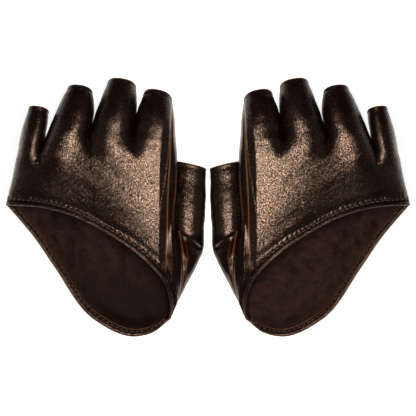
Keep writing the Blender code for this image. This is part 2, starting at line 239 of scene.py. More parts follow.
def spline(stations, where):
    """Smooth values between stations, each a key followed by one or more values."""
    table = np.array(stations, float)
    keys = table[:, 0]
    values = table[:, 1:]
    slopes = np.gradient(values, keys, axis=0)
    where = np.clip(np.asarray(where, float), keys[0], keys[-1])
    i = np.clip(np.searchsorted(keys, where, side="right") - 1, 0, len(keys) - 2)
    span = (keys[i + 1] - keys[i])[..., None]
    t = (where - keys[i])[..., None] / span
    start = (2 * t**3 - 3 * t**2 + 1) * values[i] + (t**3 - 2 * t**2 + t) * span * slopes[i]
    end = (3 * t**2 - 2 * t**3) * values[i + 1] + (t**3 - t**2) * span * slopes[i + 1]
    result = start + end
    return result[..., 0] if values.shape[1] == 1 else result


def dome(share, power):
    """Height of a round section, 1 in the middle and 0 where the share is -1 or 1."""
    return np.clip(1 - np.abs(share) ** power, 0, 1) ** (1 / power)


def smooth(t):
    """An eased step from 0 to 1."""
    t = np.clip(t, 0, 1)
    return t * t * (3 - 2 * t)


def bell(value, centre, width):
    """1 at the centre, falling off on both sides."""
    return np.exp(-(((value - centre) / width) ** 2))


def unit(vectors):
    """Vectors scaled to a length of 1."""
    return vectors / np.maximum(np.linalg.norm(vectors, axis=-1, keepdims=True), 1e-12)


def sleeve(angle, y, side):
    """The hand between its side seams; side is +1 on the back and -1 on the palm."""
    share = np.sin(angle)
    left = spline(OUTER_EDGE, y)
    right = spline(INNER_EDGE, y)
    x = (left + right) / 2 + (right - left) / 2 * share
    low = spline(OUTER_SEAM_HEIGHT, y)
    high = spline(INNER_SEAM_HEIGHT, y)
    seam = low + (high - low) * (share + 1) / 2
    if side > 0:
        z = seam + spline(BACK_RISE, y) * dome(share, BACK_POWER)
    else:
        z = np.maximum(seam * (1 - dome(share, PALM_POWER)) - SOLE_FLAT * dome(share, 2), 0)
    return np.stack([x, y, z], axis=-1)


def angle_at(x, y):
    """The sleeve's angle at a place in plan."""
    left = spline(OUTER_EDGE, y)
    right = spline(INNER_EDGE, y)
    return np.arcsin(np.clip((2 * x - left - right) / (right - left), -1, 1))


def stall(spec, bend, along, side):
    """A finger stall: bend from -90 to 90 degrees across it, along from 0 at the base to 1 at the tip."""
    aside = (4 * along * (1 - along))[..., None] * np.array([1.0, 0, 0])
    ease = np.clip(along, 0, 2) ** 1.5
    step = np.stack([along, along, ease], axis=-1)
    left = np.array(spec.left_base) * (1 - step) + np.array(spec.left_tip) * step + spec.bows[0] * aside
    right = np.array(spec.right_base) * (1 - step) + np.array(spec.right_tip) * step + spec.bows[1] * aside
    across = ((1 + np.sin(bend)) / 2)[..., None]
    tilt = math.radians(spec.droop) * ease
    up = np.stack([np.zeros_like(tilt), np.sin(tilt), np.cos(tilt)], axis=-1)
    sizes = spec.rises if side > 0 else spec.depths
    height = sizes[0] + (sizes[1] - sizes[0]) * ease
    return left + (right - left) * across + side * up * (height * dome(np.sin(bend), STALL_POWER))[..., None]


def stall_loop(spec, u, v):
    """A closed stall: u from 0 to 1 goes over the back from the little-finger side and returns under it."""
    turn = np.mod(u, 1.0) * 2 * math.pi
    over = turn <= math.pi
    bend = np.where(over, turn - math.pi / 2, 1.5 * math.pi - turn)
    return np.where(over[..., None], stall(spec, bend, v, 1), stall(spec, bend, v, -1))


def edge_lean(spec, right):
    """Sideways lean of a stall's left (0) or right (1) edge where it starts."""
    base, tip = (spec.right_base, spec.right_tip) if right else (spec.left_base, spec.left_tip)
    return (tip[0] - base[0] + 4 * spec.bows[right]) / (tip[1] - base[1])


stalls = list(FINGERS.values())
between = [(edge_lean(first, 1) + edge_lean(second, 0)) / 2 for first, second in zip(stalls, stalls[1:])]
LEANS = np.array([OUTER_LEAN, *between, INNER_LEAN])


def arch_at_seam(u, side):
    """The four stall arches side by side where the stalls begin, and the lean of each line there."""
    finger = np.clip(np.floor(u).astype(int), 0, 3)
    bend = (u - finger - 0.5) * math.pi
    points = np.zeros(np.shape(u) + (3,))
    for index, spec in enumerate(FINGERS.values()):
        points = np.where((finger == index)[..., None], stall(spec, bend, np.zeros_like(u), side), points)
    across = (1 + np.sin(bend)) / 2
    return points, LEANS[finger] * (1 - across) + LEANS[finger + 1] * across


def back_edge(share):
    """The y of the back's hem for a share across the hand from -1 to 1."""
    plunge = np.clip((share - PLUNGE_START) / (1 - PLUNGE_START), 0, 1) ** PLUNGE_POWER
    return BACK_EDGE_START - BACK_EDGE_DROP * (1 + share) ** BACK_EDGE_POWER - PLUNGE_DROP * plunge


def hand_surface(side, u, v):
    """The back (side 1) or the palm (-1): u 0 to 4 across the fingers, v 0 at the stalls, 1 at the hem."""
    seam, lean = arch_at_seam(u, side)
    front = seam[..., 1]
    knuckles = (2 * seam[..., 0] - OUTER_BASE[0] - INDEX_BASE[0]) / (INDEX_BASE[0] - OUTER_BASE[0])
    start = np.arcsin(np.clip(knuckles, -1, 1))
    if side > 0:
        end = (u / 4 - 0.5) * math.pi
        hem = back_edge(np.sin(end))
    else:
        edge = spline(PALM_EDGE, u / 4)
        hem = edge[..., 1]
        end = angle_at(edge[..., 0], hem)
    y = front + (hem - front) * v
    turn = start + (end - start) * v
    base = sleeve(turn, y, side)
    if side > 0:
        lift = -BACK_SAG * v**2 * dome(np.sin(turn), 2) * (1 - SAG_LOST * smooth(np.sin(turn) / SAG_LOST_AT))
    else:
        near_hem = np.clip((v - PALM_LIFT_START) / (1 - PALM_LIFT_START), 0, 1)
        lift = PALM_EDGE_LIFT * u * (4 - u) / 4 * near_hem**2
    base = base + lift[..., None] * UP
    back = y - front
    moved = seam + np.stack([lean * back, back, np.zeros_like(back)], axis=-1)
    fade = smooth(1 + back / CROTCH_FADE)
    return base + (moved - base) * fade[..., None]


def back_surface(pattern, v):
    """The back, with its columns shifted so that the side seam drifts along the hand."""
    before = np.clip((pattern - DRIFT_START) / (SIDE_SEAM - DRIFT_START), 0, 1)
    after = np.clip((4 - pattern) / (4 - SIDE_SEAM), 0, 1)
    return hand_surface(1, pattern - SEAM_DRIFT * v**0.8 * before * after, v)


def palm_surface(u, v):
    """The palm, with its index-side edge drawn in along the thumb hole."""
    first, second, third, last = THUMB_HOLE
    hole = np.clip((v - first) / (second - first), 0, 1) * np.clip((last - v) / (last - third), 0, 1)
    return hand_surface(-1, u - THUMB_HOLE_DEPTH * hole * (u / 4) ** THUMB_HOLE_POWER, v)


# ---------------------------------------------------------------- relief


def lattice(ix, iy, seed):
    """A repeatable scattered value between 0 and 1 for each point of a lattice."""
    value = np.sin(ix * 127.1 + iy * 311.7 + seed * 74.7) * 43758.5453
    return value - np.floor(value)


def value_noise(x, y, seed):
    """Smooth noise between -1 and 1 over a plane."""
    ix, iy = np.floor(x), np.floor(y)
    fx, fy = smooth(x - ix), smooth(y - iy)
    a, b = lattice(ix, iy, seed), lattice(ix + 1, iy, seed)
    c, d = lattice(ix, iy + 1, seed), lattice(ix + 1, iy + 1, seed)
    return 2 * (a * (1 - fx) * (1 - fy) + b * fx * (1 - fy) + c * (1 - fx) * fy + d * fx * fy) - 1


def folds(points, seed, size):
    """Soft unevenness of worn leather in three sizes, as a height over the plan position."""
    x, y = points[..., 0], points[..., 1]
    broad = 0.34 * value_noise(x / 15, y / 11, seed)
    middle = 0.16 * value_noise(x / 6.5 + 0.2 * y, y / 5.5, seed + 1)
    fine = 0.05 * value_noise(x / 2.6, y / 2.2, seed + 2)
    return size * (broad + middle + fine)


def grid_normals(points, closed=False):
    """Unit normals of a grid of points, along u x v."""
    if closed:
        wrapped = np.concatenate([points[-2:], points, points[:2]], axis=0)
        du = np.gradient(wrapped, axis=0)[2:-2]
    else:
        du = np.gradient(points, axis=0)
    return unit(np.cross(du, np.gradient(points, axis=1)))


def path_distance(points, path):
    """Distance in plan from a path of straight lines."""
    x, y = points[..., 0], points[..., 1]
    nearest = np.full(x.shape, 1e9)
    for (x0, y0), (x1, y1) in zip(path, path[1:]):
        dx, dy = x1 - x0, y1 - y0
        t = np.clip(((x - x0) * dx + (y - y0) * dy) / (dx * dx + dy * dy), 0, 1)
        nearest = np.minimum(nearest, np.hypot(x - x0 - t * dx, y - y0 - t * dy))
    return nearest


def crease(points, path, height, width):
    """A soft ridge, or a groove where the height is negative, along a path."""
    return height * bell(path_distance(points, path), 0, width)


def side_finish(points):
    """0 on the back and 1 beyond the side seam."""
    return smooth((points[..., 0] - spline(SEAM_LINE, points[..., 1])) / 0.6 + 0.5)


def seam_highlight(points):
    """The brown lines of painted highlight: along the side seam, and on the steep side of the hand beside the
    thumb.
    """
    x, y = points[..., 0], points[..., 1]
    seam = bell(x, spline(SEAM_LINE, y), 0.33)
    thumb_line_highlight = bell(x, spline(INNER_EDGE, y) - 0.5, 0.4) * smooth((24 - y) / 6) * smooth((y + 14) / 4)
    return 0.85 * seam + 0.7 * thumb_line_highlight


def shoulder(points):
    """The sharp shoulder where the back turns down to the side, and the sunk seam beyond it."""
    x, y = points[..., 0], points[..., 1]
    off = x - spline(SHOULDER_LINE, y)
    soft = np.sqrt(off**2 + 0.12)
    ridge = 1.25 * np.exp(-soft / np.where(off < 0, 5.0, 1.5))
    ridge = ridge * (0.25 + 0.75 * smooth((52 - y) / 22))
    return ridge - 0.4 * bell(x, spline(SEAM_LINE, y), 0.7)


def hem_measure(points):
    """For a grid ending in a hem: each point's distance from the hem and its place along it, in mm."""
    hem = points[:, -1]
    along = unit(np.gradient(hem, axis=0))
    offset = points - hem[:, None]
    beside = offset - (offset * along[:, None]).sum(-1, keepdims=True) * along[:, None]
    distance = np.linalg.norm(beside, axis=-1)
    return distance, np.broadcast_to(running_length(hem)[:, None], distance.shape)


def running_length(path):
    """Length along a path up to each of its points."""
    steps = np.linalg.norm(np.diff(path, axis=0), axis=-1)
    return np.concatenate([[0], np.cumsum(steps)])


def hem_ridges(distance):
    """The two fine ridges along a turned edge."""
    return bell(distance, 0.4, 0.3) + bell(distance, 1.2, 0.3)


def hem_relief(distance, along, line):
    """Height of a turned and stitched hem: a rolled edge, a groove, the band, and a puckered stitch line."""
    wave = 0.5 + 0.5 * np.cos(2 * math.pi * along / STITCH_PITCH)
    roll = 0.3 * hem_ridges(distance) - 0.3 * bell(distance, 1.95, 0.4)
    groove = -0.7 * bell(distance, line, 0.42) * (1 - 0.5 * wave)
    pucker = 0.3 * wave * bell(distance, line + 1.15, 0.75) - 0.12 * bell(distance, line + 2.6, 1.2)
    pull = 0.22 * wave * bell(distance, line - 0.75, 0.4)
    return roll + groove + pucker + pull


def panel_finish(points, distance):
    """Surface of the leather: 0 grained, up to 1 smooth beyond the side seam, down to -1 dull on the hem."""
    band = smooth((3.5 - distance) / 0.5)
    shiny = np.clip(hem_ridges(distance), 0, 1)
    plain = side_finish(points) * (1 - crease(points, STREAK, 1, 0.45))
    return plain * (1 - band) - 0.92 * band * (1 - shiny)


# ---------------------------------------------------------------- meshes


class Cloth:
    """One piece of the left glove as points, faces and per-point values, to be placed on either hand."""

    def __init__(self):
        self.points = []
        self.faces = []
        self.edge = []
        self.finish = []
        self.sharp = []
        self.count = 0

    def add(self, grid, closed_u, edge=0.0, finish=0.0):
        """Adds a grid that closes in v, and in u if asked; returns its point numbers."""
        nu, nv = grid.shape[:2]
        index = np.arange(nu * nv).reshape(nu, nv) + self.count
        if closed_u:
            index = np.concatenate([index, index[:1]], axis=0)
        index = np.concatenate([index, index[:, :1]], axis=1)
        a, b = index[:-1, :-1], index[1:, :-1]
        c, d = index[1:, 1:], index[:-1, 1:]
        self.faces.append(np.stack([a, b, c, d], axis=-1).reshape(-1, 4))
        self.points.append(grid.reshape(-1, 3))
        self.edge.append(np.broadcast_to(edge, (nu, nv)).reshape(-1))
        self.finish.append(np.broadcast_to(finish, (nu, nv)).reshape(-1))
        self.count += nu * nv
        return index

    def fill(self, ring, turned):
        """Fills a ring of points with a strip of faces."""
        ring = list(ring)
        while len(ring) > 3:
            quad = np.array([[ring[0], ring[1], ring[-2], ring[-1]]])
            self.faces.append(quad[:, ::-1] if turned else quad)
            ring = ring[1:-1]
        if len(ring) == 3:
            corner = np.array([ring])
            self.faces.append(corner[:, ::-1] if turned else corner)


def lining_up(u, v):
    """Grids of u and v, with u along the first axis."""
    return np.meshgrid(u, v, indexing="ij")


def wrap_shell(
    cloth, top, normal, thickness, painted_highlight=0.0, finish=0.0, closed_u=False, cut_start=False, rim=RIM_HIGHLIGHT
):
    """Adds a sheet with rolled ends in v; a cut start meets the next piece without a visible edge."""
    nu, nv = top.shape[:2]
    low = top - normal * thickness
    ends = []
    for column, neighbour in ((-1, -2), (0, 1)):
        near, far = top[:, column], low[:, column]
        centre, radius = (near + far) / 2, (near - far) / 2
        tangent = near - top[:, neighbour]
        tangent -= (tangent * normal[:, column]).sum(-1, keepdims=True) * normal[:, column]
        reach = unit(tangent) * np.linalg.norm(radius, axis=-1, keepdims=True)
        turns = np.arange(1, RIM_STEPS) / RIM_STEPS * math.pi
        if column == 0:
            turns = turns[::-1]
            if cut_start:
                reach = reach * 0
        ring = [centre + radius * math.cos(t) + reach * math.sin(t) for t in turns]
        ends.append(np.stack(ring, axis=1))
    loop = np.concatenate([top, ends[0], low[:, ::-1], ends[1]], axis=1)
    # Painted highlight: the brown given per point, plus brown on the rolled hem end and on the last row of the
    # face beside it.
    face = np.broadcast_to(painted_highlight, (nu, nv)).astype(float).copy()
    face[:, -1] = np.maximum(face[:, -1], 0.6 * rim)
    sides = np.zeros((nu, RIM_STEPS - 1))
    edge = np.concatenate([face, sides + rim, np.zeros((nu, nv)), sides], axis=1)
    kind = np.broadcast_to(finish, (nu, nv))
    ending = np.broadcast_to(kind[:, -1:], (nu, RIM_STEPS - 1))
    kinds = np.concatenate([kind, ending, kind[:, ::-1], ending], axis=1)
    index = cloth.add(loop, closed_u, edge, kinds)
    if cut_start:
        cloth.sharp.append(index[:, 0])
    if not closed_u:
        cap_rows(cloth, index, nv)


def cap_rows(cloth, index, nv):
    """Closes the two open sides of a wrapped shell with a strip between its faces."""
    inner = nv + RIM_STEPS - 1
    for row, turned in ((0, False), (-1, True)):
        line = index[row]
        top = line[:nv]
        low = line[inner : inner + nv][::-1]
        quads = np.stack([top[:-1], low[:-1], low[1:], top[1:]], axis=-1)
        cloth.faces.append(quads if turned else quads[:, ::-1])
        cloth.fill([top[-1], *line[nv:inner], low[-1]], turned)
        cloth.fill([low[0], *line[inner + nv : inner + inner], top[0]], turned)


def add_stitch(cloth, path, share, outward):
    """Adds a slightly flattened thread along a path; its share runs from -1 to 1 and its ends are thinner."""
    ahead = unit(np.gradient(path, axis=0))
    sideways = unit(np.cross(ahead, outward))
    upright = np.cross(sideways, ahead)
    size = (THREAD_RADIUS * (1 - 0.75 * np.abs(share) ** 6))[:, None]
    turns = np.arange(THREAD_SIDES) / THREAD_SIDES * 2 * math.pi
    rings = [path + size * (math.cos(t) * sideways + THREAD_FLAT * math.sin(t) * upright) for t in turns]
    index = cloth.add(np.stack(rings, axis=1), False)
    cloth.fill(index[0][:-1], False)
    cloth.fill(index[-1][:-1], True)


def place(points, hand):
    """Pattern millimetres to metres in the frame, mirrored for the right hand."""
    flip = 1.0 if hand == "left" else -1.0
    moved = (points - np.array([0.0, MIDDLE_Y, 0.0])) * MM
    return moved * np.array([flip, 1.0, 1.0]) * np.array([SCALE, 1.0, 1.0])


def point_values(mesh, name, kind, field, values):
    layer = mesh.attributes.new(name, kind, "POINT")
    layer.data.foreach_set(field, values.astype(np.float32).ravel())


def mark_sharp(mesh, rows):
    """Keeps the shading of a cut edge to its own side."""
    if not rows:
        return
    count = len(mesh.vertices)
    pairs = np.concatenate([np.stack([row[:-1], row[1:]], axis=-1) for row in rows])
    wanted = np.sort(pairs, axis=1) @ np.array([count, 1])
    ends = np.empty(len(mesh.edges) * 2, int)
    mesh.edges.foreach_get("vertices", ends)
    keys = np.sort(ends.reshape(-1, 2), axis=1) @ np.array([count, 1])
    layer = mesh.attributes.new("sharp_edge", "BOOLEAN", "EDGE")
    layer.data.foreach_set("value", np.isin(keys, wanted))


def make(name, hand, cloth, look, sides_out=True):
    """A mesh object from a piece of cloth, placed on one hand."""
    points = np.concatenate(cloth.points)
    faces = [face for block in cloth.faces for face in block.tolist()]
    if (hand == "right") == sides_out:
        faces = [face[::-1] for face in faces]
    mesh = bpy.data.meshes.new(f"{hand}_{name}")
    mesh.from_pydata(place(points, hand).tolist(), [], faces)
    mesh.polygons.foreach_set("use_smooth", np.ones(len(mesh.polygons), bool))
    mesh.update()
    mark_sharp(mesh, cloth.sharp)
    point_values(mesh, "edge", "FLOAT", "value", np.concatenate(cloth.edge))
    point_values(mesh, "finish", "FLOAT", "value", np.concatenate(cloth.finish))
    shift = 0.0 if hand == "left" else RIGHT_GRAIN_SHIFT
    point_values(mesh, "rest", "FLOAT_VECTOR", "vector", points + shift)
    mesh.materials.append(look)
    mesh.update()
    piece = bpy.data.objects.new(f"{hand}_{name}_look", mesh)
    bpy.context.scene.collection.objects.link(piece)
    return piece


def add_to_hand(piece, hand, *nodes):
    """Carries a piece on the hand and lets it stand in for CAD nodes of the same glove."""
    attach(piece, f"{hand}_hand")
    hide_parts(*(f"{hand}_{node}" for node in nodes))


# ---------------------------------------------------------------- materials


def feed(tree, value, target):
    """Sets an input to a plain value, or links the output of another node to it."""
    if hasattr(value, "links"):
        tree.links.new(value, target)
    else:
        target.default_value = value


def set_inputs(tree, node, **values):
    """Feeds inputs by name; an underscore stands for a space."""
    for name, value in values.items():
        feed(tree, value, node.inputs[name.replace("_", " ")])
    return node


def new_node(tree, kind, **values):
    """A shader node with some of its inputs fed."""
    return set_inputs(tree, tree.nodes.new(f"ShaderNode{kind}"), **values)


def node_material(name):
    made = bpy.data.materials.new(name)
    made.use_nodes = True
    tree = made.node_tree
    return made, tree, tree.nodes["Principled BSDF"]


def attribute(tree, name, output):
    node = tree.nodes.new("ShaderNodeAttribute")
    node.attribute_name = name
    return node.outputs[output]


def noise(tree, vector, scale, detail, roughness):
    node = new_node(tree, "TexNoise", Scale=scale, Detail=detail, Roughness=roughness, Vector=vector)
    return node.outputs["Fac"]


def ramp(tree, value, stops):
    """Two colours and the values at which they are reached."""
    node = new_node(tree, "ValToRGB", Fac=value)
    for element, (position, colour) in zip(node.color_ramp.elements, stops):
        element.position, element.color = position, colour
    return node.outputs["Color"]


def mix(tree, factor, first, second):
    node = tree.nodes.new("ShaderNodeMix")
    node.data_type = "RGBA"
    for value, target in ((factor, 0), (first, 6), (second, 7)):
        feed(tree, value, node.inputs[target])
    return node.outputs[2]


def map_range(tree, value, low, high):
    """0 where a value is at the low end, 1 at the high end."""
    node = new_node(tree, "MapRange", From_Min=low, From_Max=high, Value=value)
    return node.outputs["Result"]


def grey(level):
    return (level, level, level, 1.0)


def leather_material(name):
    """Dark faux leather: pebbled grain, a speckled sheen on grained leather, and brown painted highlight on
    seams, folds and rolled edges.
    """
    made, tree, shader = node_material(name)
    rest = attribute(tree, "rest", "Vector")
    edge = attribute(tree, "edge", "Fac")
    finish = attribute(tree, "finish", "Fac")
    pebble = tree.nodes.new("ShaderNodeTexVoronoi")
    pebble.feature = "SMOOTH_F1"
    set_inputs(tree, pebble, Scale=1.35, Smoothness=0.5, Randomness=1.0, Vector=rest)
    fine = noise(tree, rest, 2.4, 3.0, 0.65)
    broad = noise(tree, rest, 0.12, 3.0, 0.55)
    base = ramp(tree, broad, ((0.3, (0.0024, 0.0011, 0.0010, 1)), (0.7, (0.0054, 0.0026, 0.0021, 1))))
    # Painted highlight: the edge attribute mixes in a brown that stands in for light caught by seams, folds
    # and rolled edges.
    painted_highlight_colour = mix(tree, edge, base, (0.088, 0.041, 0.017, 1))
    rough = ramp(tree, fine, ((0.3, grey(0.20)), (0.7, grey(0.30))))
    grain = noise(tree, rest, 2.0, 2.0, 0.8)
    speckle = ramp(tree, grain, ((0.42, grey(0.02)), (0.58, grey(1.0))))
    plain = mix(tree, finish, speckle, grey(0.24))
    dull = tree.nodes.new("ShaderNodeMath")
    dull.operation = "MULTIPLY"
    feed(tree, plain, dull.inputs[0])
    feed(tree, map_range(tree, finish, -1.0, 0.0), dull.inputs[1])
    strength = ramp(tree, finish, ((0.0, grey(1.0)), (1.0, grey(0.22))))
    pebbled = new_node(tree, "Bump", Distance=0.00014, Strength=strength, Height=pebble.outputs["Distance"])
    pebbled.invert = True
    normal = pebbled.outputs["Normal"]
    bump = new_node(tree, "Bump", Distance=0.00009, Strength=strength, Height=fine, Normal=normal)
    set_inputs(
        tree,
        shader,
        Base_Color=painted_highlight_colour,
        Roughness=rough,
        Specular_IOR_Level=dull.outputs["Value"],
        Specular_Tint=(1.0, 0.82, 0.70, 1),
        Normal=bump.outputs["Normal"],
    )
    return made


def lining_material(name):
    """Matt brushed fabric with a cloudy tone, and painted shade that darkens it towards the wrist."""
    made, tree, shader = node_material(name)
    rest = attribute(tree, "rest", "Vector")
    weave = new_node(tree, "TexWave", Scale=1.1, Distortion=1.5, Vector=rest)
    broad = noise(tree, rest, 0.2, 6.0, 0.72)
    fine = noise(tree, rest, 3.5, 2.0, 0.6)
    base = ramp(tree, broad, ((0.36, (0.0036, 0.0018, 0.0017, 1)), (0.66, (0.0180, 0.0096, 0.0092, 1))))
    # Painted shade: the lining colour is mixed darker towards its wrist end.
    height = new_node(tree, "SeparateXYZ", Vector=rest).outputs["Y"]
    shaded = mix(tree, map_range(tree, height, -16.0, -62.0), base, (0.0022, 0.0011, 0.0010, 1))
    rough = ramp(tree, fine, ((0.3, grey(0.5)), (0.7, grey(0.66))))
    nap = new_node(tree, "Bump", Distance=0.00012, Strength=0.4, Height=fine).outputs["Normal"]
    bump = new_node(tree, "Bump", Distance=0.0001, Strength=0.15, Height=weave.outputs["Fac"], Normal=nap)
    set_inputs(
        tree,
        shader,
        Base_Color=shaded,
        Roughness=rough,
        Specular_IOR_Level=0.05,
        Specular_Tint=(1.0, 0.8, 0.7, 1),
        Normal=bump.outputs["Normal"],
    )
    return made


def thread_material(name):
    """Twisted thread, a little lighter than the leather."""
    made, tree, shader = node_material(name)
    wave = tree.nodes.new("ShaderNodeTexWave")
    wave.bands_direction = "DIAGONAL"
    set_inputs(tree, wave, Scale=3.0, Vector=attribute(tree, "rest", "Vector"))
    twist = wave.outputs["Fac"]
    base = ramp(tree, twist, ((0.2, (0.02, 0.012, 0.01, 1)), (0.8, (0.06, 0.036, 0.028, 1))))
    bump = new_node(tree, "Bump", Distance=0.0001, Strength=0.4, Height=twist)
    set_inputs(tree, shader, Base_Color=base, Roughness=0.5, Normal=bump.outputs["Normal"])
    return made


LEATHER = leather_material("glove_leather")
LINING = lining_material("glove_lining")
THREAD = thread_material("glove_thread")


# ---------------------------------------------------------------- glove pieces


def spread(first, last, step):
    """Evenly spaced values, about a step apart."""
    count = max(int(abs(last - first) / step * FINE), 4)
    return np.linspace(first, last, count + 1)


# Rows of the hand panels, finer near the hem, and the usual length of the back.
ROWS = np.concatenate([spread(0, 0.9, 0.009)[:-1], spread(0.9, 0.95, 0.005)[:-1], spread(0.95, 1, 0.0025)])
BACK_LENGTH = 60


def back_grid(first, last, step):
    """The outer face of the back between two columns of the pattern, with its relief."""
    base = back_surface(*lining_up(spread(first, last, step), ROWS))
    normal = -grid_normals(base)
    distance, along = hem_measure(base)
    away = smooth(ROWS * BACK_LENGTH / 5)
    relief = folds(base, 3.0, 0.7) * smooth(distance / 8)
    for x, y, height in KNUCKLES:
        relief += height * bell(np.hypot(base[..., 0] - x, base[..., 1] - y), 0, KNUCKLE_SIZE)
    relief += shoulder(base) * smooth(distance / 3)
    relief += crease(base, STREAK, 0.75, 0.6)
    relief = relief * away + shoulder(base) * (1 - away)
    relief += hem_relief(distance, along, BACK_STITCH_LINE)
    return base + normal * relief[..., None]


def build_panel(hand, name, first, last, step, *nodes):
    """A leather panel of the back, between two columns of the pattern."""
    points = back_grid(first, last, step)
    distance, _ = hem_measure(points)
    # Painted highlight: brown along the side seam and beside the thumb, kept off the hem.
    painted_highlight = seam_highlight(points) * smooth((distance - 2.5) / 1.5)
    finish = panel_finish(points, distance)
    cloth = Cloth()
    wrap_shell(cloth, points, -grid_normals(points), BACK_LEATHER, painted_highlight, finish, cut_start=True)
    add_to_hand(make(name, hand, cloth, LEATHER, sides_out=False), hand, *nodes)


def build_palm(hand):
    """The palm, its wrinkled lining and its hem."""
    points = palm_surface(*lining_up(spread(0, 4, 0.014), ROWS))
    normal = grid_normals(points)
    cloth = Cloth()
    wrap_shell(cloth, points, normal, LEATHER_SHEET, cut_start=True)
    add_to_hand(make("palm_panel", hand, cloth, LEATHER), hand, "palm_panel")

    distance, along = hem_measure(points)
    wrinkle = 1.0 + folds(points * np.array([1.0, 0.5, 1.0]) + 50, 11.0, 2.3)
    wrinkle = np.clip(wrinkle, 0, 2) * smooth((distance - 2.5) / 8)
    lined = points - normal * (LINING_DEPTH + wrinkle)[..., None]
    cloth = Cloth()
    wrap_shell(cloth, lined[1:-1, :-LINING_TRIM], -normal[1:-1, :-LINING_TRIM], LINING_SHEET)
    add_to_hand(make("palm_lining", hand, cloth, LINING, sides_out=False), hand, "palm_lining")

    build_palm_hem(hand, points[2:-2], normal[2:-2], distance[2:-2], along[2:-2, :1])


def build_palm_hem(hand, points, normal, distance, along):
    """The turned band inside the edge of the palm, narrower towards the little finger."""
    share, across = lining_up(np.linspace(0, 1, len(points)), np.linspace(PALM_HEM_WIDTH, 0, 22))
    across = across * (0.72 + 0.28 * smooth(share / 0.5))
    edge = band_rows(points, distance, across)
    edge_normal = unit(band_rows(normal, distance, across))
    wave = hem_relief(across, np.broadcast_to(along, across.shape), PALM_STITCH_LINE) * 0.6
    raised = edge - edge_normal * (PALM_HEM_DEPTH + wave)[..., None]
    # Painted highlight: brown along the band's cut edge, farthest from the hem.
    painted_highlight = 0.6 * bell(across, across[:, :1], 0.3)
    finish = 0.9 * bell(across, 0.5, 0.3) + 0.9 * bell(across, 1.7, 0.25) - 0.9
    cloth = Cloth()
    wrap_shell(cloth, raised, -edge_normal, LEATHER_SHEET, painted_highlight, finish)
    add_to_hand(make("palm_hem", hand, cloth, LEATHER, sides_out=False), hand, "palm_hem")


def band_rows(values, distance, across):
    """Values of a grid at given distances from its hem, column by column."""
    result = np.empty(across.shape + (3,))
    for column in range(across.shape[0]):
        reach = distance[column, ::-1]
        for axis in range(3):
            result[column, :, axis] = np.interp(across[column], reach, values[column, ::-1, axis])
    return result


def build_back_lining(hand):
    points = back_grid(0.02, 3.98, 0.02)
    normal = -grid_normals(points)
    inner = points - normal * LINING_DEPTH
    cloth = Cloth()
    wrap_shell(cloth, inner[:, :-LINING_TRIM], normal[:, :-LINING_TRIM], LINING_SHEET)
    add_to_hand(make("back_lining", hand, cloth, LINING, sides_out=False), hand, "back_lining")


def build_gusset(hand):
    """The leather round the root of the thumb, from the thumb stall to a tail at the side seam."""
    u, v = lining_up(spread(0, 1, 0.007), spread(0, 1, 0.012))
    y = GUSSET_START - GUSSET_BULGE * np.sin(u * math.pi) ** 2 * (1 - v) - GUSSET_LENGTH * v
    inner = spline(INNER_EDGE, y)
    seam = spline(INNER_SEAM_HEIGHT, y)
    turn = (u - 0.5) * math.pi
    reach = GUSSET_REACH * np.clip(1 - v, 0, 1) ** GUSSET_TAPER
    x = inner + reach * np.cos(turn) - GUSSET_TUCK * np.clip(2 * u - 1, 0, 1) ** 3
    low = TAIL_HEIGHT * seam * smooth((v - TAIL_START) / (1 - TAIL_START))
    z = (seam + low) / 2 - (seam - low) / 2 * np.sin(turn)
    target = np.stack([x, y, z], axis=-1)
    loop = stall_loop(THUMB, u * 0.999, np.zeros_like(v))
    moved = np.stack([loop[..., 0], y, loop[..., 2]], axis=-1)
    fade = smooth(1 - v / GUSSET_BLEND)
    base = target + (moved - target) * fade[..., None]
    relief = folds(base, 9.0, 0.9)
    relief += crease(base, THUMB_ROOT_FOLD, -0.9, 0.9)
    relief += crease(base, GUSSET_FOLD, 0.3, 0.9)
    relief *= smooth(v * GUSSET_LENGTH / 4)
    points = base - grid_normals(base) * relief[..., None]
    # Painted highlight: brown lines along the gusset seam and its fold.
    painted_highlight = crease(base, GUSSET_SEAM, 0.8, 0.4) + crease(base, GUSSET_FOLD, 0.25, 0.3)
    cloth = Cloth()
    wrap_shell(cloth, points, -grid_normals(points), LEATHER_SHEET, painted_highlight, 0.7, cut_start=True)
    add_to_hand(make("thumb_gusset", hand, cloth, LEATHER, sides_out=False), hand, "thumb_gusset")


def build_folds(hand):
    """The folds of leather at the roots of the fingers."""
    crotches = (("little_ring", LITTLE_RING), ("ring_middle", RING_MIDDLE), ("middle_index", MIDDLE_INDEX))
    for between_fingers, crotch in crotches:
        share, height = lining_up(np.linspace(-1, 1, 13), np.linspace(-1, 1, 13))
        x = crotch[0] + 1.2 * share * (1 - 0.3 * height**2)
        y = crotch[1] - 0.9 + 0.5 * share**2
        z = crotch[2] + 3.5 * height
        points = np.stack([x, y, z], axis=-1)
        cloth = Cloth()
        wrap_shell(cloth, points, grid_normals(points), FOLD_LEATHER, rim=0.0)
        name = f"fourchette_{between_fingers}"
        add_to_hand(make(name, hand, cloth, LEATHER), hand, name)


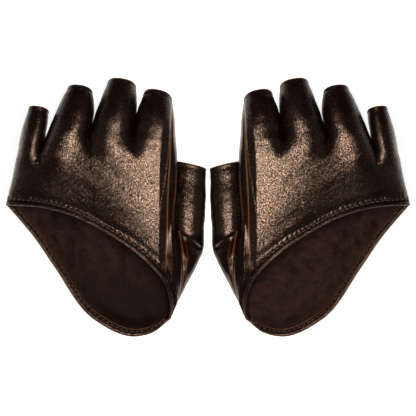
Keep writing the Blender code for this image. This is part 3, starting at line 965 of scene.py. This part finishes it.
def build_stitches(hand, name, side, line, first, last):
    """Single stitches at a distance from the hem, between two columns of the pattern."""
    u, v = lining_up(np.linspace(first, last, 1600), np.linspace(0.85, 1.0, 120))
    base = back_surface(u, v) if side > 0 else palm_surface(u, v)
    normal = -side * grid_normals(base)
    distance, _ = hem_measure(base)
    pick = np.argmin(np.abs(distance - line), axis=1)
    column = np.arange(len(base))
    path, outward = base[column, pick], normal[column, pick]
    run = running_length(path)
    share = np.linspace(-1, 1, 9)
    rise = 0.3 * (1 - share**4) - 0.45
    if side < 0:
        rise = -PALM_HEM_DEPTH - rise
    cloth = Cloth()
    for k in range(int(run[-1] / STITCH_PITCH)):
        at = (k + 0.5) * STITCH_PITCH + STITCH_HALF * share
        points = np.stack([np.interp(at, run, path[:, i]) for i in range(3)], axis=-1)
        up = np.stack([np.interp(at, run, outward[:, i]) for i in range(3)], axis=-1)
        add_stitch(cloth, points + up * rise[:, None], share, up)
    add_to_hand(make(name, hand, cloth, THREAD), hand, name)


def build_stall(hand, name, spec):
    """A stall and its lining, built in their resting place on the hand."""
    base_middle = (np.array(spec.left_base) + np.array(spec.right_base)) / 2
    tip_middle = (np.array(spec.left_tip) + np.array(spec.right_tip)) / 2
    length = float(np.linalg.norm(tip_middle - base_middle))
    columns = int(170 * FINE)
    u, v = lining_up(np.arange(columns) / columns, spread(0, 1, 0.4 / length))
    base = stall_loop(spec, u, v)
    normal = grid_normals(base, True)
    from_tip = (1 - v) * length
    relief = folds(base + 20, 5.0, 0.9 if name == "thumb" else 0.7) * smooth(v * length / 5)
    if name == "thumb":
        relief *= smooth(np.minimum(u, 1 - u) / 0.08)
        finish = np.zeros(u.shape)
    else:
        finish = -0.55 * smooth(v * length / 14)
    relief += 0.18 * bell(from_tip, 0.3, 0.9) - 0.12 * bell(from_tip, 2.0, 0.5)
    painted_highlight = np.zeros(u.shape)
    if name == "index":
        over = (u < 0.5) & (u > 0.2)
        relief += shoulder(base) * over * smooth(from_tip / 12)
        beyond = side_finish(base) * over
        finish = finish * (1 - beyond) + beyond
        # Painted highlight: brown along the side seam on the index stall.
        painted_highlight = seam_highlight(base) * over
    points = base + normal * relief[..., None]
    normal = grid_normals(points, True)
    cloth = Cloth()
    wrap_shell(cloth, points, normal, LEATHER_SHEET, painted_highlight, finish, closed_u=True, cut_start=True)
    leather = make(f"{name}_stall", hand, cloth, LEATHER)
    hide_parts(f"{hand}_{name}_stall", f"{hand}_{name}_tip_hem")
    inner = (base - normal * STALL_LINING_DEPTH)[::2, :-LINING_TRIM]
    cloth = Cloth()
    wrap_shell(cloth, inner, normal[::2, :-LINING_TRIM], STALL_LINING_SHEET, closed_u=True)
    lining = make(f"{name}_lining", hand, cloth, LINING)
    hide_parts(f"{hand}_{name}_lining")
    across = place(np.array(spec.right_base), hand) - place(np.array(spec.left_base), hand)
    ahead = Vector((-across[1], across[0], 0)).normalized()
    if ahead.y < 0:
        ahead = -ahead
    for piece in (leather, lining):
        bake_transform(piece)


for hand in ("left", "right"):
    build_panel(hand, "back_panel", 0.0, SIDE_SEAM, 0.012, "back_panel", "back_hem")
    build_panel(hand, "side_panel", SIDE_SEAM, 4.0, 0.005, "side_panel")
    build_palm(hand)
    build_back_lining(hand)
    build_gusset(hand)
    build_folds(hand)
    build_stitches(hand, "back_stitching", 1, BACK_STITCH_LINE, 0.05, 3.7)
    build_stitches(hand, "palm_stitching", -1, PALM_STITCH_LINE, 0.3, 3.8)
    for name, spec in FINGERS.items():
        build_stall(hand, name, spec)
    build_stall(hand, "thumb", THUMB)


# ---------------------------------------------------------------- floor, light and camera

FLOOR_HALF = 3
FLOOR_DROP = 0.0005
SCENE_MIDDLE = (0.0, -0.01, 0.0)
LAMP_WHITE = (1.0, 0.97, 0.95)
LAMP_WARM = (1.0, 0.80, 0.66)
CAMERA_HEIGHT = 0.951


def area_light(name, location, size, energy, colour, aim):
    data = bpy.data.lights.new(name, "AREA")
    data.shape = "RECTANGLE"
    data.size, data.size_y = size
    data.energy = energy
    data.color = colour
    lamp = bpy.data.objects.new(name, data)
    lamp.location = location
    lamp.rotation_mode = "QUATERNION"
    lamp.rotation_quaternion = (Vector(aim) - Vector(location)).to_track_quat("-Z", "Y")
    lamp.visible_camera = False
    bpy.context.scene.collection.objects.link(lamp)


corners = [(FLOOR_HALF * x, FLOOR_HALF * y, 0) for x, y in ((-1, -1), (1, -1), (1, 1), (-1, 1))]
floor_mesh = bpy.data.meshes.new("floor")
floor_mesh.from_pydata(corners, [], [(0, 1, 2, 3)])
floor = bpy.data.objects.new("floor", floor_mesh)
floor.location.z = -FLOOR_DROP
paper, tree, shader = node_material("paper")
set_inputs(
    tree,
    shader,
    Base_Color=(0.9, 0.9, 0.9, 1),
    Roughness=0.9,
    Emission_Color=(1, 1, 1, 1),
    Emission_Strength=0.93,
)
floor_mesh.materials.append(paper)
bpy.context.scene.collection.objects.link(floor)

world = bpy.data.worlds.new("studio")
world.use_nodes = True
tree = world.node_tree
set_inputs(tree, tree.nodes["Background"], Color=(1, 0.95, 0.9, 1), Strength=0.035)
bpy.context.scene.world = world
bpy.context.scene.view_settings.view_transform = "Standard"
area_light("strip", (0.0, -0.01, 0.26), (0.05, 0.15), 1.2, LAMP_WARM, SCENE_MIDDLE)
area_light("left_side", (-0.75, 0.1, 0.42), (0.5, 0.5), 0.2, LAMP_WHITE, (0, 0, 0))
area_light("right_side", (0.75, 0.1, 0.42), (0.5, 0.5), 0.2, LAMP_WHITE, (0, 0, 0))

camera_data = bpy.data.cameras.new("camera")
camera_data.lens = 150
camera_data.sensor_width = 36
camera_data.clip_end = 10
camera = bpy.data.objects.new("camera", camera_data)
camera.location = (0.0, 0.0, CAMERA_HEIGHT)
bpy.context.scene.collection.objects.link(camera)
bpy.context.scene.camera = camera
